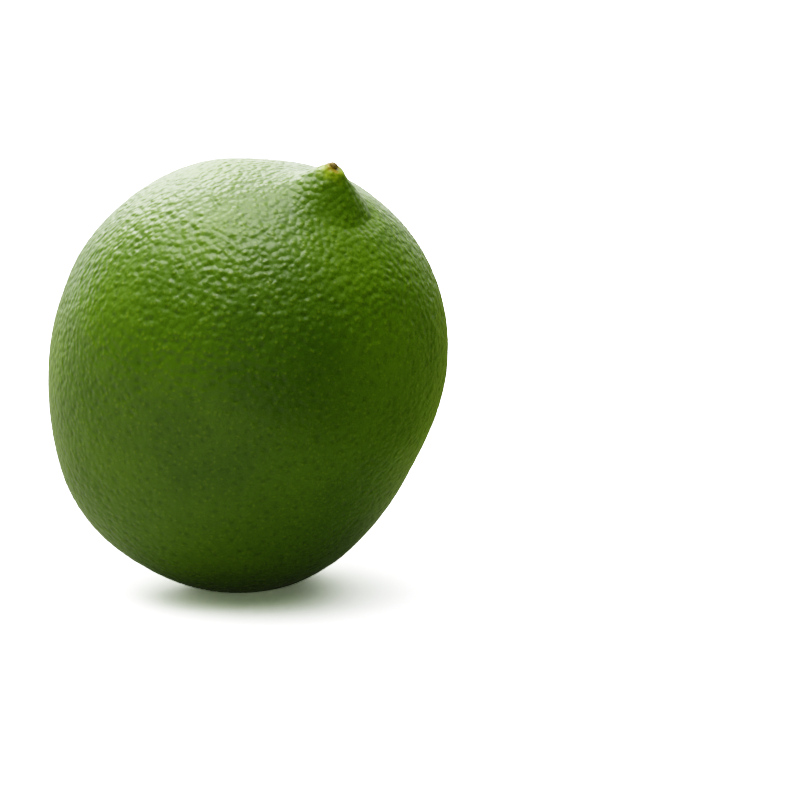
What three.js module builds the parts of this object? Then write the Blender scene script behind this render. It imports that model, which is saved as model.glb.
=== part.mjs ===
// A whole lime: one solid that stands on a small flat spot with its long axis leaning.
// Millimetres, +Z up, the origin at the middle of the flat spot. The long axis leans towards +X.
import * as THREE from "three";
import { mergeVertices } from "three/addons/utils/BufferGeometryUtils.js";

const { degToRad, smoothstep } = THREE.MathUtils;

// The body, in the fruit's own frame: the origin at its widest place, +Z to the blossom end.
const BLOSSOM_END = new THREE.Vector3(0, 0, 1);
const BODY_RADIUS = 29;
const BLOSSOM_LENGTH = 29.5; // widest place to blossom end, without the nipple
const STEM_LENGTH = 36.25; // widest place to stem end
const BLOSSOM_FULLNESS = 1.9; // 2 draws an ellipse, more a fuller end
const STEM_FULLNESS = 2.47;
const BOW = 1.85; // how far the long axis bows sideways, one body radius from the middle

// Shallow swells and dents of the body: angles in degrees, polar from the blossom end.
const SWELLS = [
  { polar: 100, turn: -137, height: 0.25, spread: 16 },
  { polar: 85, turn: -146, height: 0.15, spread: 16 },
  { polar: 67, turn: -159, height: 0.1, spread: 16 },
  { polar: 50, turn: -176, height: 0.5, spread: 16 },
  { polar: 38, turn: 164, height: -0.45, spread: 16 },
  { polar: 35, turn: 99, height: -0.25, spread: 16 },
  { polar: 126, turn: -116, height: -0.45, spread: 16 },
  { polar: 140, turn: -96, height: 0.45, spread: 16 },
  { polar: 148, turn: -60, height: -0.15, spread: 16 },
  { polar: 112, turn: 118, height: 0.35, spread: 20 },
];

// The nipple at the blossom end: a leaning cone with one long flank.
const NIPPLE_HEIGHT = 4.95;
const NIPPLE_RADIUS = 3.75; // where the cone has fallen to about a third of its height
const NIPPLE_FULLNESS = 1.6;
const NIPPLE_FOOT = { x: 0.5, y: 0.5 }; // off the long axis
const NIPPLE_LEAN = { x: -2.2, y: -0.75 }; // how far the tip leans over
const NIPPLE_LEAN_CURVE = 1.3; // above 1 the lean gathers towards the tip
const FLANK_STRETCH = 0.5; // the long flank is this much wider
const FLANK_TURN = degToRad(240);
const FURROW_DEPTH = 0.14; // the faint furrow round the nipple's foot
const FURROW_RADIUS = 6.2;
const FURROW_WIDTH = 1.5;
const FOLD_DEPTH = 0.4; // how much deeper the furrow is where the nipple's steep flank folds down
const FOLD_TURN = degToRad(25);
const FOLD_SPREAD = degToRad(45);

// The style scar: a dish with a raised rim on the nipple's tip.
const SCAR_RADIUS = 0.85;
const SCAR_DEPTH = 0.35;
const SCAR_RIM_RADIUS = 1.2;
const SCAR_RIM_WIDTH = 0.4;
const SCAR_RIM_HEIGHT = 0.12;

// The stem end: a shallow basin with short grooves and the dry calyx button left by the stalk.
const BASIN_DEPTH = 1.5;
const BASIN_RADIUS = 6.5;
const GROOVES = 9;
const GROOVE_DEPTH = 0.28;
const GROOVE_SHARPNESS = 4; // more makes the grooves narrower and the ribs between them wider
const GROOVE_START = 3.2; // the grooves deepen from here
const GROOVE_FULL = 5.5; // are deepest here
const GROOVE_END = 11; // and are gone here
const CALYX_LOBES = 5;
const CALYX_RADIUS = 3;
const CALYX_LOBE_DEPTH = 0.5; // how much the calyx narrows between its lobes
const CALYX_HEIGHT = 0.75;
const STALK_RADIUS = 1.45;
const STALK_HEIGHT = 0.8;
const EDGE_SOFTNESS = 0.35; // half the width over which a raised edge falls

// The pebbled peel: oil-gland bumps, drawn a little larger than life.
const PEBBLE_HEIGHT = 0.14;
const PEBBLE_SPACING = 5.2;
const CROSSING_AXIS = new THREE.Vector3(1, 2, 3).normalize();
const CROSSING_TURN = degToRad(50); // between the two waves that make the pebbles

// How the fruit stands.
const LEAN = degToRad(30);
const MIDDLE_HEIGHT = 36.4; // the widest place's middle above the surface
const MIDDLE_OFFSET = 1.8; // and to the +X side of the flat spot's middle
const FLAT_BLEND = 0.35; // height over which the flat spot runs into the round

// The mesh: an even ball of triangles, drawn together towards both ends for the fine forms.
const BALL_DETAIL = 21;
const END_GATHER = 0.64;
const END_GATHER_ANGLE = degToRad(24);

const PEEL_COLOUR = 0x3a6414;
const PEEL_ROUGHNESS = 0.36;

// A direction from the middle: the angle from the blossom end and the turn round the long axis.
function directionAt(polar, turn) {
  const side = Math.sin(polar);
  return new THREE.Vector3(side * Math.cos(turn), side * Math.sin(turn), Math.cos(polar));
}

// 1 inside an outline at the given distance and 0 outside it, with a soft edge.
function raised(distance, edge) {
  return 1 - smoothstep(distance, edge - EDGE_SOFTNESS, edge + EDGE_SOFTNESS);
}

// 1 at the centre, falling off as a bell of the given radius.
function bell(distance, radius) {
  return Math.exp(-((distance / radius) ** 2));
}

// Draws directions near either end closer to that end.
function gather(direction) {
  const polar = direction.angleTo(BLOSSOM_END);
  const turn = Math.atan2(direction.y, direction.x);
  const fromEnd = Math.min(polar, Math.PI - polar);
  const gathered = fromEnd * (1 - END_GATHER * bell(fromEnd, END_GATHER_ANGLE));
  return directionAt(polar === fromEnd ? gathered : Math.PI - gathered, turn);
}

// Distance from the middle to the smooth body in a direction: one curve for each half.
function bodyRadius(direction) {
  const blossomHalf = direction.z > 0;
  const length = blossomHalf ? BLOSSOM_LENGTH : STEM_LENGTH;
  const fullness = blossomHalf ? BLOSSOM_FULLNESS : STEM_FULLNESS;
  const side = Math.hypot(direction.x, direction.y) / BODY_RADIUS;
  const along = Math.abs(direction.z) / length;
  return (side ** fullness + along ** fullness) ** (-1 / fullness);
}

// The swells and dents together, in a direction.
function swellHeight(direction) {
  return SWELLS.reduce((sum, swell) => {
    const centre = directionAt(degToRad(swell.polar), degToRad(swell.turn));
    return sum + swell.height * bell(direction.angleTo(centre), degToRad(swell.spread));
  }, 0);
}

// A smooth wave in all three directions at once, from -1.5 to 1.5, without straight rows.
function gyroid({ x, y, z }) {
  return Math.sin(x) * Math.cos(y) + Math.sin(y) * Math.cos(z) + Math.sin(z) * Math.cos(x);
}

// Bumps from two crossed waves, which never repeat in step on a round body.
function pebbleHeight(point) {
  const wave = point.clone().multiplyScalar((2 * Math.PI) / PEBBLE_SPACING);
  const crossed = wave.clone().applyAxisAngle(CROSSING_AXIS, CROSSING_TURN);
  return (PEBBLE_HEIGHT * (gyroid(wave) + gyroid(crossed))) / 2;
}

// Moves a point of the blossom half out into the nipple, with its scar and furrow.
function addNipple(point) {
  const x = point.x - NIPPLE_FOOT.x;
  const y = point.y - NIPPLE_FOOT.y;
  const distance = Math.hypot(x, y);
  const towardsFlank = Math.max(0, Math.cos(Math.atan2(y, x) - FLANK_TURN));
  const radius = NIPPLE_RADIUS * (1 + FLANK_STRETCH * towardsFlank ** 2);
  const rise = Math.exp(-((distance / radius) ** NIPPLE_FULLNESS));
  const lean = rise ** NIPPLE_LEAN_CURVE;
  const dish = SCAR_DEPTH * bell(distance, SCAR_RADIUS);
  const rim = SCAR_RIM_HEIGHT * bell(distance - SCAR_RIM_RADIUS, SCAR_RIM_WIDTH);
  const fold = FOLD_DEPTH * bell(Math.atan2(y, x) - FOLD_TURN, FOLD_SPREAD);
  const furrow = (FURROW_DEPTH + fold) * bell(distance - FURROW_RADIUS, FURROW_WIDTH);
  point.x += NIPPLE_LEAN.x * lean;
  point.y += NIPPLE_LEAN.y * lean;
  point.z += NIPPLE_HEIGHT * rise - dish + rim - furrow;
}

// Presses the basin and its grooves into the stem end, and raises the calyx and the cut stalk.
function addStemEnd(point) {
  const distance = Math.hypot(point.x, point.y);
  const turn = Math.atan2(point.y, point.x);
  const basin = BASIN_DEPTH * bell(distance, BASIN_RADIUS);
  const grooved =
    smoothstep(distance, GROOVE_START, GROOVE_FULL) *
    (1 - smoothstep(distance, GROOVE_FULL, GROOVE_END));
  const groove = GROOVE_DEPTH * grooved * Math.cos((GROOVES * turn) / 2) ** GROOVE_SHARPNESS;
  const calyxEdge = CALYX_RADIUS - CALYX_LOBE_DEPTH * Math.cos((CALYX_LOBES * turn) / 2) ** 2;
  const calyx = CALYX_HEIGHT * raised(distance, calyxEdge);
  const stalk = STALK_HEIGHT * raised(distance, STALK_RADIUS);
  point.z += basin + groove - calyx - stalk;
}

// Bows the long axis towards +X, more the further a point is from the middle.
function bow(point) {
  point.x += BOW * (point.z / BODY_RADIUS) ** 2;
}

// The fruit's surface in one direction from its middle, in the fruit's own frame.
function surfacePoint(direction) {
  const point = direction.clone().multiplyScalar(bodyRadius(direction));
  const relief = swellHeight(direction) + pebbleHeight(point);
  if (direction.z > 0) {
    addNipple(point);
  } else {
    addStemEnd(point);
  }
  point.addScaledVector(direction, relief);
  bow(point);
  return point;
}

// Nothing is lower than the surface, and the flat spot runs softly into the round.
function restOnSurface(point) {
  if (point.z < FLAT_BLEND) {
    point.z = Math.max(0, point.z + FLAT_BLEND) ** 2 / (4 * FLAT_BLEND);
  }
}

function makeLimeGeometry() {
  const geometry = new THREE.IcosahedronGeometry(1, BALL_DETAIL);
  geometry.deleteAttribute("normal");
  geometry.deleteAttribute("uv");
  const ball = mergeVertices(geometry);
  const position = ball.getAttribute("position");
  const upright = new THREE.Vector3(0, 1, 0);
  const direction = new THREE.Vector3();
  for (let i = 0; i < position.count; i += 1) {
    direction.fromBufferAttribute(position, i).normalize();
    const point = surfacePoint(gather(direction));
    point.applyAxisAngle(upright, LEAN);
    point.x += MIDDLE_OFFSET;
    point.z += MIDDLE_HEIGHT;
    restOnSurface(point);
    position.setXYZ(i, point.x, point.y, point.z);
  }
  ball.computeVertexNormals();
  return ball;
}

function makePeelMaterial() {
  return new THREE.MeshStandardMaterial({
    color: PEEL_COLOUR,
    roughness: PEEL_ROUGHNESS,
    metalness: 0,
  });
}

function makeLime() {
  const lime = new THREE.Mesh(makeLimeGeometry(), makePeelMaterial());
  lime.name = "lime";
  return lime;
}

const group = new THREE.Group();
group.add(makeLime());

export default group;
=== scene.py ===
"""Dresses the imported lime: waxy peel, corky style scar, dry calyx and the cut stalk's end."""

import math

import bmesh
import bpy
from mathutils import Matrix, Vector, noise


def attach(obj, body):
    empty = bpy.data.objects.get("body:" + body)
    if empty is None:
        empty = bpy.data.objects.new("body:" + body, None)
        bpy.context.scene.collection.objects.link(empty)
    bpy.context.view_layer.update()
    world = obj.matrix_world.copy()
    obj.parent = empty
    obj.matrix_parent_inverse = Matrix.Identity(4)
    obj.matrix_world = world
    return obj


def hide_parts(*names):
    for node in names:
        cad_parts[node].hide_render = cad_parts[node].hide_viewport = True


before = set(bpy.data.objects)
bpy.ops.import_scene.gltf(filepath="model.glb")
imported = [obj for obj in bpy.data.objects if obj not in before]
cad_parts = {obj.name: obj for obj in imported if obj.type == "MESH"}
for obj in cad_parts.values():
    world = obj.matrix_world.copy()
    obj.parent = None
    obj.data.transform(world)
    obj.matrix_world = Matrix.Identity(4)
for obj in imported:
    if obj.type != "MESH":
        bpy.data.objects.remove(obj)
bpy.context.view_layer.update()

bl_info = {
    "name": "Whole lime",
    "version": (1, 0, 0),
    "blender": (4, 5, 0),
    "location": "3D View > Sidebar > Lime",
    "description": "Models a whole lime on its small flat spot, with a plain studio round it",
    "category": "Add Mesh",
}

MM = 0.001  # lengths are metres, written as a number of millimetres times this
NODE = "lime"
BODY = "root"

# The body, in the fruit's own frame: the origin at its widest place, +Z to the blossom end.
BLOSSOM_END = Vector((0, 0, 1))
BLOSSOM_FULLNESS = 1.9  # 2 draws an ellipse, more a fuller end
STEM_FULLNESS = 2.47
BOW = 1.85 * MM  # how far the long axis bows sideways, one body radius from the middle

# Shallow swells and dents: degrees from the blossom end, degrees round the axis, height, spread.
SWELLS = (
    (100, -137, 0.25 * MM, 16),
    (85, -146, 0.15 * MM, 16),
    (67, -159, 0.1 * MM, 16),
    (50, -176, 0.5 * MM, 16),
    (38, 164, -0.45 * MM, 16),
    (35, 99, -0.25 * MM, 16),
    (126, -116, -0.45 * MM, 16),
    (140, -96, 0.45 * MM, 16),
    (148, -60, -0.15 * MM, 16),
    (112, 118, 0.35 * MM, 20),
)

# The nipple: a leaning cone with one long flank and a faint furrow round its foot.
NIPPLE_FULLNESS = 1.6
NIPPLE_FOOT = Vector((0.5, 0.5, 0)) * MM
NIPPLE_LEAN = Vector((-2.2, -0.75, 0)) * MM
NIPPLE_LEAN_CURVE = 1.3
FLANK_STRETCH = 0.5
FLANK_TURN = math.radians(240)
FURROW_DEPTH = 0.14 * MM
FURROW_RADIUS = 6.2 * MM
FURROW_WIDTH = 1.5 * MM
FOLD_DEPTH = 0.4 * MM  # how much deeper the furrow is where the nipple's steep flank folds down
FOLD_TURN = math.radians(25)
FOLD_SPREAD = math.radians(45)
SCAR_DISH_DEPTH = 0.35 * MM  # the dish round the style scar, with a raised rim
SCAR_DISH_RADIUS = 0.85 * MM
SCAR_RIM_RADIUS = 1.2 * MM
SCAR_RIM_WIDTH = 0.4 * MM
SCAR_RIM_HEIGHT = 0.2 * MM
SCAR_RISE = 0.12 * MM  # how far the scar's middle stands above the dish's floor
SCAR_NARROWING = 0.8  # the scar's width across, as a share of its length
SCAR_FLATNESS = 0.6  # its height, as a share of its length
SCAR_CRUMB = 0.25  # how far its crumbs stand out, as a share of its radius
SCAR_CRUMB_SIZE = 0.5  # how wide they are, as a share of its radius

# The stem end's basin and its short grooves.
BASIN_DEPTH = 1.5 * MM
BASIN_RADIUS = 6.5 * MM
GROOVES = 9
GROOVE_DEPTH = 0.28 * MM
GROOVE_SHARPNESS = 4
GROOVE_START = 3.2 * MM
GROOVE_FULL = 5.5 * MM
GROOVE_END = 11 * MM

# The dry calyx in the basin, and the cut stalk's end that stands out of it.
CALYX_LOBES = 5
CALYX_NOTCH = 0.17  # how much narrower the calyx is between two lobes, as a share of its radius
CALYX_FLATNESS = 0.27  # its height, as a share of its width
CALYX_CURL = 0.1  # how unevenly thick it is, as a share of its height
CALYX_CURL_SIZE = 0.4  # the width of a thick place, as a share of its radius
STALK_FLARE = 1.15  # the stalk's foot is this much wider than its cut end
STALK_LENGTH = 1.6 * MM
STALK_OUT = 0.7 * MM  # from the basin's floor out to the stalk's middle

# The peel's relief: small bumps and pits, knobs round the nipple and wider waves everywhere.
PIT_WIDTH = 0.46  # as a share of the spacing of the oil glands that the pits lie over
KNOB_REACH = 12 * MM
KNOB_HEIGHT = 0.1 * MM
KNOB_SPACING = 1.25 * MM
KNOB_WIDTH = 0.42  # as a share of the knobs' spacing
KNOBBY_BUMPS = 0.5  # the small bumps' share of their height among the knobs
WAVE_HEIGHT = 0.08 * MM
WAVE_SPACING = 5.5 * MM
COARSE_START = 24 * MM  # the peel is fully pebbled beyond this height up the fruit's own axis
COARSE_END = -16 * MM
SMOOTH_PEEL = 0.68  # the relief's share of its height below that

# The relief too fine for the mesh, which the material draws.
FINE_RELIEF = 0.2 * MM
FINE_BODY_SHARE = 0.75  # its strength away from the nipple
PITS_FADE = (0.1, 0.6)  # the pits fade out between these nearnesses to the blossom end

# The peel's colour: cloudy patches all over, plus painted light that lightens it round one
# direction and painted shade that deepens it round another, each at its degrees from the blossom
# end and degrees round the axis.
CLOUD_SIZE = 14 * MM
PAINTED_LIGHT_CENTRE = (33, 10)
PAINTED_SHADE_CENTRE = (55, -41)
PATCH_SPREAD = math.radians(24)
# How strongly the painted light lightens and the painted shade deepens the green.
PAINTED_LIGHT_STRENGTH = 0.25
PAINTED_SHADE_STRENGTH = 0.4
# How far painted shade darkens the pits towards their green.
PAINTED_PIT_SHADE = 0.24
DOT_PALENESS = 0.2  # of the dots on the pebbles

# The nipple's pale tip and the rusty stain round the scar: how strong each is, and how far from
# the tip it begins to fade and ends. Both have ragged edges.
PALENESS = 0.9
PALENESS_FADE = (1.1 * MM, 3.3 * MM)
STAIN = 0.8
STAIN_FADE = (0.7 * MM, 1.5 * MM)
RAGGEDNESS = 0.9 * MM
RAGGED_SIZE = 0.7 * MM

# Amounts drawn on the peel's mesh: painted light as lighter green (below 0 painted shade as
# deeper green), pale at the tip, rusty round the scar, how strongly the fine relief shows, and
# knobs alone without pits.
DRAWN = ("painted_light_and_shade", "tip", "rust", "pebbled", "knobby")

# The wax on the peel, and the dry tissue of the scar, the calyx and the stalk.
WAX_ROUGHNESS = (0.33, 0.4)
WAX_IOR = 1.45
DRY_SHADE = 0.5  # the dark flecks' brightness, as a share of the pale ones'
DRY_RELIEF = 0.1 * MM
DRY_ROUGHNESS = 0.75

# How the fruit stands.
LEAN = math.radians(30)
MIDDLE = Vector((1.8, 0, 36.4)) * MM  # the widest place's middle, from the flat spot's middle
FLAT_BLEND = 0.35 * MM
STANCE = Matrix.Translation(MIDDLE) @ Matrix.Rotation(LEAN, 4, "Y")

# The peel's mesh: a cube cut in halves this many times, then blown round.
BALL_HALVINGS = 7
END_GATHER = 0.5
END_GATHER_ANGLE = math.radians(24)

# The camera: a long lens that looks a little down on the fruit, in a square frame.
FRAME_PX = 800
PX_PER_MM = 6.741
LENS = 195  # in millimetres, as the sensor is
SENSOR = 36
CAMERA_TURN = math.radians(46)  # round from -Y towards +X
CAMERA_RISE = math.radians(12)
MIDDLE_PX = (253.5, 346.4)  # where the fruit's middle stands in the frame

# The soft lights: degrees round from the camera to its right, degrees up, and brightness.
SOFT_LIGHTS = (
    (160, 2, 1.0),
    (180, 2, 5.0),
    (220, 2, 3.4),
    (140, 22, 0.6),
    (180, 18, 2.2),
    (200, 18, 3.0),
    (150, 40, 3.7),
    (202, 34, 11.5),
    (270, 34, 1.1),
    (205, 50, 5.1),
    (231, 50, 4.2),
    (0, 20, 0.25),
    (36, 66, 1.2),
    (72, 66, 1.1),
    (216, 66, 1.6),
    (252, 66, 5.8),
    (288, 66, 2.4),
    (320, 60, 0.8),
    (0, 80, 6.0),
    (288, 80, 8.6),
    (0, 90, 3.8),
)
SOFTNESS = 36  # less makes each light wider; 36 halves its brightness 11 degrees from its middle

# The floor: half its side in metres, and its faint glow on the fruit and for the camera.
FLOOR_REACH = 3
FLOOR_GLOW = 0.06
FLOOR_GLOW_SEEN = 0.08
GREEN_BOUNCE_START = 50 * MM  # right of the fruit's middle, where the bounce is fully green

# The tone curve: deeper darks than a straight one and a soft shoulder up to white.
TONE_WHITE = 2.5  # the brightness that is drawn as white
TONE_MIDDLE = 0.6
TONE_POWER = 1.4
TONE_STEPS = 14


def linear(hex_colour):
    """An sRGB hex colour as linear red, green and blue with an alpha of 1."""
    parts = [int(hex_colour[i : i + 2], 16) / 255 for i in (0, 2, 4)]
    return tuple(c / 12.92 if c <= 0.04045 else ((c + 0.055) / 1.055) ** 2.4 for c in parts) + (1,)


def length(name, description, millimetres):
    """A length property with its default in millimetres."""
    return bpy.props.FloatProperty(
        name=name, description=description, default=millimetres * MM, unit="LENGTH", precision=5
    )


def colour(name, description, hex_colour):
    """A colour property with its default as sRGB hex."""
    return bpy.props.FloatVectorProperty(
        name=name, description=description, default=linear(hex_colour), size=4, subtype="COLOR"
    )


class LimeForm(bpy.types.PropertyGroup):
    """The fruit's driving sizes."""

    body_radius: length("Body radius", "Half the width across the middle", 29.0)
    blossom_length: length("Blossom length", "Middle to blossom end, nipple left out", 29.5)
    stem_length: length("Stem length", "Middle to stem end", 36.25)
    nipple_height: length("Nipple height", "How far the nipple stands out", 4.95)
    nipple_radius: length("Nipple radius", "Where it has fallen to a third of its height", 3.75)
    pebble_height: length("Pebble height", "How far the peel's bumps stand out", 0.05)
    pebble_spacing: length("Pebble spacing", "From one bump to the next", 0.9)
    gland_depth: length("Gland depth", "Depth of the pits over the oil glands", 0.07)
    gland_spacing: length("Gland spacing", "From one oil gland to the next", 1.35)
    calyx_radius: length("Calyx radius", "Middle to the tip of a dry sepal", 3.0)
    stalk_radius: length("Stalk radius", "Of the cut stalk's end", 1.45)
    scar_radius: length("Scar radius", "Of the style's scar", 0.66)


class LimeFinish(bpy.types.PropertyGroup):
    """The colours of its surfaces."""

    peel: colour("Peel", "The peel's main green", "72950E")
    # The deeper green is also where the painted shade takes the peel.
    peel_deep_and_painted_shade: colour("Deep peel", "The darker patches of the peel", "48680A")
    # Painted shade: the green that darkens the pits.
    painted_pit_green: colour("Hollows", "The darker green in the pits", "24400A")
    peel_pale: colour("Pale peel", "Yellower green at the nipple and over the glands", "A4BC24")
    rust: colour("Rust", "The stained peel round the style scar", "9C7A18")
    cork: colour("Cork", "The style scar", "A08A48")
    sepal: colour("Sepal", "The dry calyx", "6E6A38")
    stalk: colour("Stalk", "The cut stalk's end", "9A8A5C")


class LimeStudio(bpy.types.PropertyGroup):
    """The light round the fruit."""

    light_strength: bpy.props.FloatProperty(
        name="Light", description="Strength of all the soft lights", default=1.0
    )
    floor_seen: bpy.props.FloatProperty(
        name="Floor", description="How white the camera sees the floor in full light", default=4.2
    )
    bounce: colour("Bounce", "What the floor throws back on the fruit", "9A9E86")
    green_bounce: colour("Green bounce", "The same at the right, as if off cut fruit", "708127")


def smoothstep(value, low, high):
    """0 below low, 1 above high, with an even S between them."""
    t = min(1, max(0, (value - low) / (high - low)))
    return t * t * (3 - 2 * t)


def bell(distance, radius):
    """1 at the centre, falling off as a bell of the given radius."""
    return math.exp(-((distance / radius) ** 2))


def direction_at(polar, turn):
    """A direction from the middle: the angle from the blossom end and the turn round the axis."""
    side = math.sin(polar)
    return Vector((side * math.cos(turn), side * math.sin(turn), math.cos(polar)))


SWELL_FORMS = tuple(
    (direction_at(math.radians(polar), math.radians(turn)), height, math.radians(spread))
    for polar, turn, height, spread in SWELLS
)


def gather(direction):
    """Draws directions near either end closer to that end."""
    polar = direction.angle(BLOSSOM_END)
    from_end = min(polar, math.pi - polar)
    gathered = from_end * (1 - END_GATHER * bell(from_end, END_GATHER_ANGLE))
    turn = math.atan2(direction.y, direction.x)
    return direction_at(gathered if polar == from_end else math.pi - gathered, turn)


def body_radius(form, direction):
    """Middle to the smooth body in a direction: one curve for each half."""
    blossom_half = direction.z > 0
    reach = form.blossom_length if blossom_half else form.stem_length
    fullness = BLOSSOM_FULLNESS if blossom_half else STEM_FULLNESS
    side = math.hypot(direction.x, direction.y) / form.body_radius
    along = abs(direction.z) / reach
    return (side**fullness + along**fullness) ** (-1 / fullness)


def swell_height(direction):
    """The swells and dents together, in a direction."""
    return sum(
        height * bell(direction.angle(centre), spread) for centre, height, spread in SWELL_FORMS
    )


def add_nipple(form, point):
    """Moves a point of the blossom half out into the nipple and its furrow."""
    foot = (point - NIPPLE_FOOT).xy
    distance = foot.length
    towards_flank = max(0, math.cos(math.atan2(foot.y, foot.x) - FLANK_TURN))
    radius = form.nipple_radius * (1 + FLANK_STRETCH * towards_flank**2)
    rise = math.exp(-((distance / radius) ** NIPPLE_FULLNESS))
    dish = SCAR_DISH_DEPTH * bell(distance, SCAR_DISH_RADIUS)
    rim = SCAR_RIM_HEIGHT * bell(distance - SCAR_RIM_RADIUS, SCAR_RIM_WIDTH)
    fold = FOLD_DEPTH * bell(math.atan2(foot.y, foot.x) - FOLD_TURN, FOLD_SPREAD)
    furrow = (FURROW_DEPTH + fold) * bell(distance - FURROW_RADIUS, FURROW_WIDTH)
    height = form.nipple_height * rise - dish + rim - furrow
    return point + NIPPLE_LEAN * rise**NIPPLE_LEAN_CURVE + BLOSSOM_END * height


def add_basin(point):
    """Presses the basin and its grooves into the stem end."""
    distance = point.xy.length
    turn = math.atan2(point.y, point.x)
    deepening = smoothstep(distance, GROOVE_START, GROOVE_FULL)
    grooved = deepening * (1 - smoothstep(distance, GROOVE_FULL, GROOVE_END))
    groove = GROOVE_DEPTH * grooved * math.cos(GROOVES * turn / 2) ** GROOVE_SHARPNESS
    return point + BLOSSOM_END * (BASIN_DEPTH * bell(distance, BASIN_RADIUS) + groove)


def surface_point(form, direction):
    """The fruit's smooth surface in one direction from its middle, in the fruit's own frame."""
    point = direction * body_radius(form, direction)
    point = add_nipple(form, point) if direction.z > 0 else add_basin(point)
    point = point + direction * swell_height(direction)
    point.x += BOW * (point.z / form.body_radius) ** 2
    return point


def nipple_tip(form):
    """The very tip of the nipple."""
    return surface_point(form, (NIPPLE_FOOT + BLOSSOM_END * form.blossom_length).normalized())


def coarseness(point):
    """How strong the relief is: full towards the blossom end, less past the middle."""
    return SMOOTH_PEEL + (1 - SMOOTH_PEEL) * smoothstep(point.z, COARSE_END, COARSE_START)


def nearness(form, point):
    """1 at the blossom end, falling off over the nipple and round its foot."""
    return bell((point - BLOSSOM_END * form.blossom_length).length, KNOB_REACH)


def gland_relief(point, spacing, width):
    """1 over each oil gland and 0 between them, the width as a share of the spacing."""
    return bell(noise.voronoi(point / spacing)[0][0], width)


def peel_relief(form, point):
    """Height of the peel at a point of the surface: pitted, and knobbly round the nipple."""
    near = nearness(form, point)
    wave = WAVE_HEIGHT * noise.noise(point / WAVE_SPACING)
    bump = form.pebble_height * noise.noise(point / form.pebble_spacing)
    pit = form.gland_depth * gland_relief(point, form.gland_spacing, PIT_WIDTH)
    knob = KNOB_HEIGHT * gland_relief(point, KNOB_SPACING, KNOB_WIDTH)
    pebbly = coarseness(point) * (wave + bump - pit)
    return (1 - near) * pebbly + near * (knob + KNOBBY_BUMPS * bump)


def rest_on_surface(point):
    """Nothing is lower than the surface, and the flat spot runs softly into the round."""
    if point.z < FLAT_BLEND:
        point.z = max(0, point.z + FLAT_BLEND) ** 2 / (4 * FLAT_BLEND)
    return point


def even_ball(halvings):
    """A ball of nearly square faces: a cube cut into a grid and blown round."""
    bm = bmesh.new()
    bmesh.ops.create_cube(bm, size=2)
    for _ in range(halvings):
        bmesh.ops.subdivide_edges(bm, edges=bm.edges[:], cuts=1, use_grid_fill=True)
    for vert in bm.verts:
        vert.co = Vector(math.tan(c * math.pi / 4) for c in vert.co).normalized()
    return bm


def add_piece(context, name, bm, material):
    """Makes a smooth object of the bmesh, which rides on the body and stands for its node."""
    mesh = bpy.data.meshes.new(name)
    bmesh.ops.recalc_face_normals(bm, faces=bm.faces)
    bm.to_mesh(mesh)
    bm.free()
    mesh.shade_smooth()
    mesh.materials.append(material)
    piece = bpy.data.objects.new(name, mesh)
    context.scene.collection.objects.link(piece)
    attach(piece, BODY)
    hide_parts(NODE)


def add_node(tree, kind, inputs=None, **settings):
    """Adds a node with its settings; an input is given a value or another node's output."""
    node = tree.nodes.new(kind)
    for name, value in settings.items():
        setattr(node, name, value)
    for socket, value in (inputs or {}).items():
        if isinstance(value, bpy.types.NodeSocket):
            tree.links.new(value, node.inputs[socket])
        else:
            node.inputs[socket].default_value = value
    return node


def new_material(name):
    """An empty material, its node tree and its object coordinates."""
    material = bpy.data.materials.new(name)
    material.use_nodes = True
    material.node_tree.nodes.clear()
    tree = material.node_tree
    return material, tree, add_node(tree, "ShaderNodeTexCoord").outputs["Object"]


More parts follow.
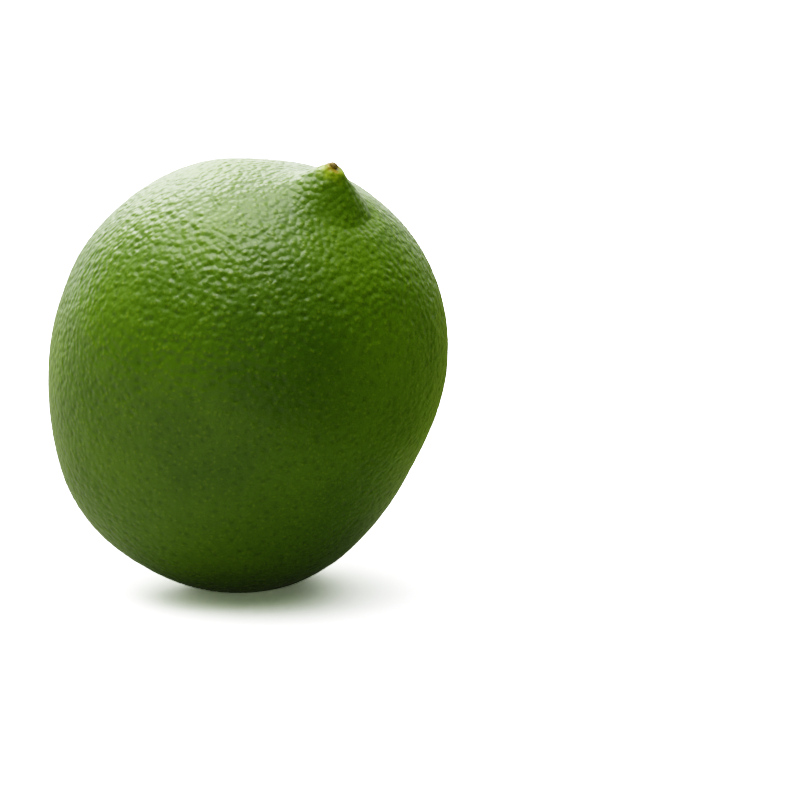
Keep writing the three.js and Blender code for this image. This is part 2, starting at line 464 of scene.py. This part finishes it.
def make_peel_material(form, finish):
    """Waxed lime peel: a smooth waxy skin over oil glands gives a soft gloss broken by pebbles."""
    material, tree, place = new_material("waxed lime peel")
    drawn = {}
    for name in DRAWN:
        drawn[name] = add_node(tree, "ShaderNodeAttribute", attribute_name=name).outputs["Fac"]

    # Cloudy greens, with painted shade deeper and painted light lighter where the mesh says so.
    clouds = add_node(
        tree, "ShaderNodeTexNoise", {"Vector": place, "Scale": 1 / CLOUD_SIZE, "Detail": 3.0}
    )
    cloud = clouds.outputs["Fac"]
    lightness = add_node(tree, "ShaderNodeMath", {0: cloud, 1: drawn["painted_light_and_shade"]}, operation="ADD")
    green = add_node(
        tree,
        "ShaderNodeMix",
        {0: lightness.outputs[0], 6: finish.peel_deep_and_painted_shade, 7: finish.peel},
        data_type="RGBA",
    )

    # Pits over the oil glands with painted shade darkening them inside, and pebbles between them
    # with a pale dot on top.
    pits = add_node(
        tree,
        "ShaderNodeTexVoronoi",
        {"Vector": place, "Scale": 1 / form.gland_spacing, "Smoothness": 0.35},
        feature="SMOOTH_F1",
    )
    pebbles = add_node(
        tree,
        "ShaderNodeTexVoronoi",
        {"Vector": place, "Scale": 1 / form.pebble_spacing, "Smoothness": 0.4},
        feature="SMOOTH_F1",
    )
    from_pit, from_pebble = pits.outputs["Distance"], pebbles.outputs["Distance"]
    pit_shade_mask = add_node(
        tree,
        "ShaderNodeMapRange",
        {
            "Value": from_pit,
            "From Min": 0.1,
            "From Max": 0.45,
            "To Min": PAINTED_PIT_SHADE,
            "To Max": 0.0,
        },
        interpolation_type="SMOOTHSTEP",
    )
    shaded = add_node(
        tree,
        "ShaderNodeMix",
        {0: pit_shade_mask.outputs[0], 6: green.outputs[2], 7: finish.painted_pit_green},
        data_type="RGBA",
    )
    dots = add_node(
        tree,
        "ShaderNodeMapRange",
        {"Value": from_pebble, "From Max": 0.4, "To Min": DOT_PALENESS, "To Max": 0.0},
        interpolation_type="SMOOTHSTEP",
    )
    pale = add_node(
        tree, "ShaderNodeMath", {0: dots.outputs[0], 1: drawn["tip"]}, operation="MAXIMUM"
    )
    skin = add_node(
        tree,
        "ShaderNodeMix",
        {0: pale.outputs[0], 6: shaded.outputs[2], 7: finish.peel_pale},
        data_type="RGBA",
    )
    stained = add_node(
        tree,
        "ShaderNodeMix",
        {0: drawn["rust"], 6: skin.outputs[2], 7: finish.rust},
        data_type="RGBA",
    )

    # The relief too fine for the mesh: pebbles everywhere, and pits away from the nipple.
    pit_share = add_node(
        tree, "ShaderNodeMapRange", {"Value": drawn["knobby"], "To Min": 1.0, "To Max": 0.0}
    )
    pit_height = add_node(
        tree,
        "ShaderNodeMapRange",
        {"Value": from_pit, "From Max": 0.7, "To Min": -0.65, "To Max": 0.3},
        interpolation_type="SMOOTHSTEP",
    )
    pebble_height = add_node(
        tree,
        "ShaderNodeMapRange",
        {"Value": from_pebble, "From Max": 0.9, "To Min": 1.0, "To Max": 0.0},
    )
    relief = add_node(
        tree,
        "ShaderNodeMath",
        {0: pit_share.outputs[0], 1: pit_height.outputs[0], 2: pebble_height.outputs[0]},
        operation="MULTIPLY_ADD",
    )
    bump = add_node(
        tree,
        "ShaderNodeBump",
        {"Height": relief.outputs[0], "Strength": drawn["pebbled"], "Distance": FINE_RELIEF},
    )
    smoothest, roughest = WAX_ROUGHNESS
    wax = add_node(
        tree, "ShaderNodeMapRange", {"Value": cloud, "To Min": smoothest, "To Max": roughest}
    )
    shader = add_node(
        tree,
        "ShaderNodeBsdfPrincipled",
        {
            "Base Color": stained.outputs[2],
            "Roughness": wax.outputs[0],
            "Normal": bump.outputs["Normal"],
            "IOR": WAX_IOR,
        },
    )
    add_node(tree, "ShaderNodeOutputMaterial", {"Surface": shader.outputs[0]})
    return material


def make_dry_material(name, base, fleck_size):
    """Dry plant tissue: matt and flecked, from dead cells that scatter the light."""
    material, tree, place = new_material(name)
    flecks = add_node(
        tree, "ShaderNodeTexNoise", {"Vector": place, "Scale": 1 / fleck_size, "Detail": 4.0}
    )
    fleck = flecks.outputs["Fac"]
    shade = add_node(
        tree, "ShaderNodeMapRange", {"Value": fleck, "From Min": 0.3, "From Max": 0.7}
    )
    dark = [channel * DRY_SHADE for channel in base[:3]] + [1]
    tint = add_node(
        tree, "ShaderNodeMix", {0: shade.outputs[0], 6: dark, 7: base}, data_type="RGBA"
    )
    bump = add_node(
        tree, "ShaderNodeBump", {"Height": fleck, "Strength": 0.8, "Distance": DRY_RELIEF}
    )
    shader = add_node(
        tree,
        "ShaderNodeBsdfPrincipled",
        {
            "Base Color": tint.outputs[2],
            "Roughness": DRY_ROUGHNESS,
            "Normal": bump.outputs["Normal"],
        },
    )
    add_node(tree, "ShaderNodeOutputMaterial", {"Surface": shader.outputs[0]})
    return material


class LIME_OT_peel(bpy.types.Operator):
    """Model the fruit's whole outside as one fine mesh"""

    bl_idname = "lime.peel"
    bl_label = "Peel"

    def execute(self, context):
        form = context.scene.lime_form
        bm = even_ball(BALL_HALVINGS)
        painted_light_and_shade, tip, rust, pebbled, knobby = (bm.verts.layers.float.new(name) for name in DRAWN)
        tip_point = nipple_tip(form)
        painted_light_aim = direction_at(*map(math.radians, PAINTED_LIGHT_CENTRE))
        painted_shade_aim = direction_at(*map(math.radians, PAINTED_SHADE_CENTRE))
        for vert in bm.verts:
            direction = gather(vert.co)
            # Painted light lightens the green round one direction and painted shade deepens it
            # round another.
            light = bell(direction.angle(painted_light_aim), PATCH_SPREAD)
            dark = bell(direction.angle(painted_shade_aim), PATCH_SPREAD)
            vert[painted_light_and_shade] = PAINTED_LIGHT_STRENGTH * light - PAINTED_SHADE_STRENGTH * dark
            vert.co = surface_point(form, direction)
        bm.normal_update()
        for vert in bm.verts:
            ragged = RAGGEDNESS * noise.noise(vert.co / RAGGED_SIZE)
            from_tip = (vert.co - tip_point).length + ragged
            near = nearness(form, vert.co)
            vert[knobby] = smoothstep(near, *PITS_FADE)
            vert[pebbled] = near + FINE_BODY_SHARE * (1 - near) * coarseness(vert.co)
            vert[tip] = PALENESS * (1 - smoothstep(from_tip, *PALENESS_FADE))
            vert[rust] = STAIN * (1 - smoothstep(from_tip, *STAIN_FADE))
            point = vert.co + vert.normal * peel_relief(form, vert.co)
            vert.co = rest_on_surface(STANCE @ point)
        material = make_peel_material(form, context.scene.lime_finish)
        add_piece(context, "lime_peel", bm, material)
        return {"FINISHED"}


class LIME_OT_style_scar(bpy.types.Operator):
    """Model the corky scar that the style left on the nipple's tip"""

    bl_idname = "lime.style_scar"
    bl_label = "Style scar"

    def execute(self, context):
        form = context.scene.lime_form
        seat = nipple_tip(form)
        bm = bmesh.new()
        bmesh.ops.create_uvsphere(bm, u_segments=32, v_segments=16, radius=form.scar_radius)
        for vert in bm.verts:
            rough = 1 + SCAR_CRUMB * noise.noise(vert.co / (SCAR_CRUMB_SIZE * form.scar_radius))
            x, y, z = vert.co
            flat = Vector((x, SCAR_NARROWING * y, SCAR_FLATNESS * z)) * rough
            vert.co = STANCE @ (flat + seat + BLOSSOM_END * SCAR_RISE)
        cork = context.scene.lime_finish.cork
        material = make_dry_material("dry corky style scar", cork, fleck_size=0.4 * MM)
        add_piece(context, "style_scar", bm, material)
        return {"FINISHED"}


class LIME_OT_calyx(bpy.types.Operator):
    """Model the dry five-lobed calyx in the stem basin"""

    bl_idname = "lime.calyx"
    bl_label = "Calyx"

    def execute(self, context):
        form = context.scene.lime_form
        seat = surface_point(form, -BLOSSOM_END)
        bm = bmesh.new()
        bmesh.ops.create_uvsphere(bm, u_segments=80, v_segments=24, radius=form.calyx_radius)
        for vert in bm.verts:
            x, y, z = vert.co
            lobe = 1 - CALYX_NOTCH * math.cos(CALYX_LOBES * math.atan2(y, x) / 2) ** 2
            curl = CALYX_CURL * noise.noise(vert.co / (CALYX_CURL_SIZE * form.calyx_radius))
            flat = Vector((x * lobe, y * lobe, CALYX_FLATNESS * z * (1 + curl)))
            vert.co = STANCE @ (flat + seat)
        sepal = context.scene.lime_finish.sepal
        material = make_dry_material("dry sepals", sepal, fleck_size=1.2 * MM)
        add_piece(context, "calyx", bm, material)
        return {"FINISHED"}


class LIME_OT_stalk_end(bpy.types.Operator):
    """Model the cut stalk's end, which stands out of the calyx"""

    bl_idname = "lime.stalk_end"
    bl_label = "Stalk's end"

    def execute(self, context):
        form = context.scene.lime_form
        seat = surface_point(form, -BLOSSOM_END)
        bm = bmesh.new()
        bmesh.ops.create_cone(
            bm,
            cap_ends=True,
            segments=40,
            radius1=form.stalk_radius,
            radius2=form.stalk_radius * STALK_FLARE,
            depth=STALK_LENGTH,
            matrix=STANCE @ Matrix.Translation(seat - BLOSSOM_END * STALK_OUT),
        )
        stalk = context.scene.lime_finish.stalk
        material = make_dry_material("cut stalk", stalk, fleck_size=0.3 * MM)
        add_piece(context, "stalk_end", bm, material)
        return {"FINISHED"}


def camera_axes():
    """The camera's right, up and back directions."""
    back = Vector(
        (
            math.sin(CAMERA_TURN) * math.cos(CAMERA_RISE),
            -math.cos(CAMERA_TURN) * math.cos(CAMERA_RISE),
            math.sin(CAMERA_RISE),
        )
    )
    right = Vector((math.cos(CAMERA_TURN), math.sin(CAMERA_TURN), 0))
    return right, back.cross(right), back


def add_camera(scene):
    """A long-lens camera that sees the fruit at the left of the frame."""
    right, up, back = camera_axes()
    aim_right = (FRAME_PX / 2 - MIDDLE_PX[0]) / PX_PER_MM * MM
    aim_up = (MIDDLE_PX[1] - FRAME_PX / 2) / PX_PER_MM * MM
    distance = FRAME_PX * LENS / SENSOR / PX_PER_MM * MM
    data = bpy.data.cameras.new("camera")
    data.lens, data.sensor_width = LENS, SENSOR
    data.clip_start, data.clip_end = 0.01, 20
    camera = bpy.data.objects.new("camera", data)
    place = MIDDLE + right * aim_right + up * aim_up + back * distance
    turn = Matrix((right, up, back)).transposed().to_4x4()
    camera.matrix_world = Matrix.Translation(place) @ turn
    scene.collection.objects.link(camera)
    scene.camera = camera


def add_glow(tree, look, strength):
    """The sum of the soft lights in the direction looked in, each brightest at its middle."""
    right, _, back = camera_axes()
    towards = Vector((back.x, back.y, 0)).normalized()
    total = 0.0
    for turn, height, brightness in SOFT_LIGHTS:
        turn, height = math.radians(turn), math.radians(height)
        level = towards * math.cos(turn) + right * math.sin(turn)
        aim = level * math.cos(height) + Vector((0, 0, math.sin(height)))
        facing = add_node(tree, "ShaderNodeVectorMath", {0: look, 1: aim}, operation="DOT_PRODUCT")
        fall = add_node(
            tree,
            "ShaderNodeMath",
            {0: facing.outputs["Value"], 1: SOFTNESS, 2: -SOFTNESS},
            operation="MULTIPLY_ADD",
        )
        glow = add_node(tree, "ShaderNodeMath", {0: fall.outputs[0]}, operation="EXPONENT")
        lit = add_node(
            tree,
            "ShaderNodeMath",
            {0: glow.outputs[0], 1: brightness * strength, 2: total},
            operation="MULTIPLY_ADD",
        )
        total = lit.outputs[0]
    return total


def add_surround(scene, strength):
    """A white studio: soft lights round the fruit, which the camera sees as plain white."""
    world = bpy.data.worlds.new("studio")
    scene.world = world
    world.use_nodes = True
    tree = world.node_tree
    tree.nodes.clear()
    look = add_node(tree, "ShaderNodeTexCoord").outputs["Generated"]
    glow = add_glow(tree, look, strength)
    path = add_node(tree, "ShaderNodeLightPath")
    seen = path.outputs["Is Camera Ray"]
    shown = add_node(tree, "ShaderNodeMix", {0: seen, 2: glow, 3: 2 * TONE_WHITE})
    studio = add_node(tree, "ShaderNodeBackground", {"Strength": shown.outputs[0]})
    add_node(tree, "ShaderNodeOutputWorld", {"Surface": studio.outputs[0]})


def tone(brightness):
    """A film-like response: a toe from the power and a shoulder from the middle."""
    lifted = brightness**TONE_POWER
    return lifted / (lifted + TONE_MIDDLE)


def set_tone_curve(view):
    """Draws the tone curve into the scene's colour management, closer steps in the darks."""
    view.view_transform = "Standard"
    view.use_curve_mapping = True
    curve = view.curve_mapping
    curve.white_level = (TONE_WHITE,) * 3
    combined = curve.curves[3]
    for step in range(1, TONE_STEPS):
        share = (step / TONE_STEPS) ** 3
        combined.points.new(share, tone(share * TONE_WHITE) / tone(TONE_WHITE))
    for point in combined.points:
        point.handle_type = "AUTO_CLAMPED"
    curve.update()


def add_floor(scene, studio):
    """A plain pale floor, matt and even, with a faint glow that keeps its shadow light."""
    bm = bmesh.new()
    bmesh.ops.create_grid(bm, x_segments=1, y_segments=1, size=FLOOR_REACH)
    mesh = bpy.data.meshes.new("floor")
    bm.to_mesh(mesh)
    bm.free()
    material, tree, place = new_material("matt white floor")
    right = camera_axes()[0]
    across = add_node(tree, "ShaderNodeVectorMath", {0: place, 1: right}, operation="DOT_PRODUCT")
    fade = add_node(
        tree,
        "ShaderNodeMapRange",
        {"Value": across.outputs["Value"], "From Max": GREEN_BOUNCE_START},
    )
    bounce = add_node(
        tree,
        "ShaderNodeMix",
        {0: fade.outputs["Result"], 6: studio.bounce, 7: studio.green_bounce},
        data_type="RGBA",
    )
    seen = add_node(tree, "ShaderNodeLightPath").outputs["Is Camera Ray"]
    white = [studio.floor_seen] * 3 + [1]
    shade = add_node(
        tree, "ShaderNodeMix", {0: seen, 6: bounce.outputs[2], 7: white}, data_type="RGBA"
    )
    glow = add_node(tree, "ShaderNodeMix", {0: seen, 2: FLOOR_GLOW, 3: FLOOR_GLOW_SEEN})
    card = add_node(tree, "ShaderNodeBsdfDiffuse", {"Color": shade.outputs[2]})
    lift = add_node(tree, "ShaderNodeEmission", {"Strength": glow.outputs[0]})
    shader = add_node(tree, "ShaderNodeAddShader", {0: card.outputs[0], 1: lift.outputs[0]})
    add_node(tree, "ShaderNodeOutputMaterial", {"Surface": shader.outputs[0]})
    mesh.materials.append(material)
    floor = bpy.data.objects.new("floor", mesh)
    scene.collection.objects.link(floor)


class LIME_OT_stage(bpy.types.Operator):
    """Set up the floor, the soft light and the camera"""

    bl_idname = "lime.stage"
    bl_label = "Studio"

    def execute(self, context):
        scene = context.scene
        add_camera(scene)
        add_surround(scene, scene.lime_studio.light_strength)
        add_floor(scene, scene.lime_studio)
        set_tone_curve(scene.view_settings)
        return {"FINISHED"}


class LIME_PT_panel(bpy.types.Panel):
    """Lists the fruit's pieces and its sizes"""

    bl_idname = "LIME_PT_panel"
    bl_label = "Whole lime"
    bl_space_type = "VIEW_3D"
    bl_region_type = "UI"
    bl_category = "Lime"

    def draw(self, context):
        column = self.layout.column()
        for operator in OPERATORS:
            column.operator(operator.bl_idname)
        for name in GROUPS:
            group = getattr(context.scene, name)
            for field in group.__annotations__:
                column.prop(group, field)


GROUPS = {"lime_form": LimeForm, "lime_finish": LimeFinish, "lime_studio": LimeStudio}
OPERATORS = (
    LIME_OT_peel,
    LIME_OT_style_scar,
    LIME_OT_calyx,
    LIME_OT_stalk_end,
    LIME_OT_stage,
)


def register():
    """Makes the groups, operators and panel known, and gives the scene its properties."""
    for group in GROUPS.values():
        bpy.utils.register_class(group)
    for cls in (*OPERATORS, LIME_PT_panel):
        bpy.utils.register_class(cls)
    for name, group in GROUPS.items():
        setattr(bpy.types.Scene, name, bpy.props.PointerProperty(type=group))


def unregister():
    """Takes them all away again."""
    for name in GROUPS:
        delattr(bpy.types.Scene, name)
    for cls in (LIME_PT_panel, *reversed(OPERATORS)):
        bpy.utils.unregister_class(cls)
    for group in GROUPS.values():
        bpy.utils.unregister_class(group)


def main():
    """Models the lime and its studio."""
    register()
    bpy.ops.lime.peel()
    bpy.ops.lime.style_scar()
    bpy.ops.lime.calyx()
    bpy.ops.lime.stalk_end()
    bpy.ops.lime.stage()


if __name__ == "__main__":
    main()
